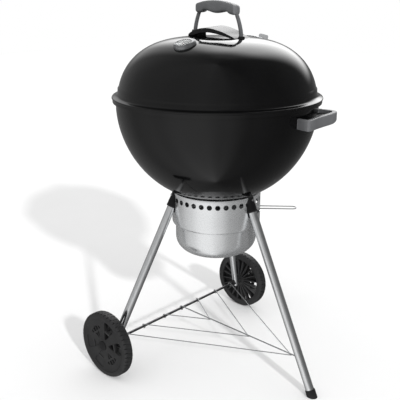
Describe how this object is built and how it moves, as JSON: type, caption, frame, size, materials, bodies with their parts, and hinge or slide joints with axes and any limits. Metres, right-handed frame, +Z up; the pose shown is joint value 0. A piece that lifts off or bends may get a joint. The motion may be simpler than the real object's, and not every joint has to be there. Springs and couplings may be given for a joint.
{
  "type": "kettle charcoal grill",
  "caption": "Round black kettle charcoal grill with a domed lid on three tube legs, with wheels, a wire bottom rack and a perforated ash catcher.",
  "frame": {"origin": "on the floor, under the middle of the bounding box", "axes": "+Z up; the front leg points along -Y; the wheel axle lies along X"},
  "size_m": [0.6682, 0.7128, 1.0585],
  "materials": {
    "black_enamel": "gloss",
    "grey_plastic": "satin",
    "black_steel": "satin",
    "screw_steel": "satin",
    "black_plastic": "satin",
    "leg_steel": "satin",
    "dark_steel": "satin",
    "wire_steel": "satin",
    "grate_steel": "gloss",
    "ash_aluminium": "satin",
    "plate_aluminium": "satin",
    "dial_face": "satin",
    "lens_glass": "gloss",
    "needle_red": "satin"
  },
  "bodies": {
    "stand": {"bowl_shell": "black_enamel", "bowl_handle_front": "grey_plastic", "bowl_handle_rear": "grey_plastic", "handle_plate_front": "black_steel", "handle_plate_rear": "black_steel", "bowl_handle_screws": "screw_steel", "grate_brackets": "dark_steel", "leg_sockets": "black_steel", "leg_collars": "black_plastic", "leg_buttons": "screw_steel", "leg_front": "leg_steel", "leg_left": "leg_steel", "leg_right": "leg_steel", "foot_cap": "black_plastic", "leg_plugs": "black_plastic", "axle": "dark_steel", "axle_spacers": "black_plastic", "rack_spine": "wire_steel", "rack_wire_inner": "wire_steel", "rack_wire_middle": "wire_steel", "rack_wire_outer": "wire_steel", "charcoal_grate": "dark_steel", "cooking_grate": "grate_steel", "ash_ring": "ash_aluminium"},
    "ash_bucket": {"ash_bucket": "ash_aluminium"},
    "cleaner": {"sweeper_shaft": "dark_steel", "sweeper_blades": "dark_steel", "vent_lever": "wire_steel"},
    "flap_left": {"grate_flap_left": "grate_steel"},
    "flap_right": {"grate_flap_right": "grate_steel"},
    "lid": {"lid_shell": "black_enamel", "lid_handle_rod": "grey_plastic", "lid_handle_grip": "grey_plastic", "lid_handle_nuts": "screw_steel", "lid_foot_block": "black_plastic", "lid_heat_shield": "black_enamel", "thermometer_case": "plate_aluminium", "thermometer_dial": "dial_face", "thermometer_lens": "lens_glass", "thermometer_stem": "screw_steel", "damper_rivet": "screw_steel"},
    "needle": {"thermometer_needle": "needle_red"},
    "damper": {"lid_damper_disc": "plate_aluminium", "lid_damper_tab": "grey_plastic"},
    "wheel_left": {"wheel_left": "black_plastic", "hubcap_left": "black_plastic"},
    "wheel_right": {"wheel_right": "black_plastic", "hubcap_right": "black_plastic"}
  },
  "joints": [
    {"name": "lid_lift", "type": "slide", "parent": "stand", "child": "lid", "axis": [0, 0, 1], "range_m": [0, 0.35]},
    {"name": "needle_turn", "type": "hinge", "parent": "lid", "child": "needle", "pos_m": [-0.16014, -0.00208, 0.9594], "axis": [-0.3016, -0.0478, 0.9522], "range_deg": [0, 240]},
    {"name": "damper_turn", "type": "hinge", "parent": "lid", "child": "damper", "pos_m": [0.16599, 0.02329, 0.9539], "axis": [0.3285, 0, 0.9445], "range_deg": [0, 45]},
    {"name": "vent_sweep", "type": "hinge", "parent": "stand", "child": "cleaner", "pos_m": [0, 0.02329, 0.48], "axis": [0, 0, 1], "range_deg": [-25, 25]},
    {"name": "flap_left_hinge", "type": "hinge", "parent": "stand", "child": "flap_left", "pos_m": [-0.145, 0.02329, 0.776], "axis": [0, 1, 0], "range_deg": [0, 95]},
    {"name": "flap_right_hinge", "type": "hinge", "parent": "stand", "child": "flap_right", "pos_m": [0.145, 0.02329, 0.776], "axis": [0, -1, 0], "range_deg": [0, 95]},
    {"name": "bucket_drop", "type": "slide", "parent": "stand", "child": "ash_bucket", "axis": [0, 0, -1], "range_m": [0, 0.15]},
    {"name": "wheel_left_spin", "type": "hinge", "parent": "stand", "child": "wheel_left", "pos_m": [-0.3117, 0.17049, 0.0983], "axis": [1, 0, 0], "continuous": true},
    {"name": "wheel_right_spin", "type": "hinge", "parent": "stand", "child": "wheel_right", "pos_m": [0.3117, 0.17049, 0.0983], "axis": [1, 0, 0], "continuous": true}
  ]
}
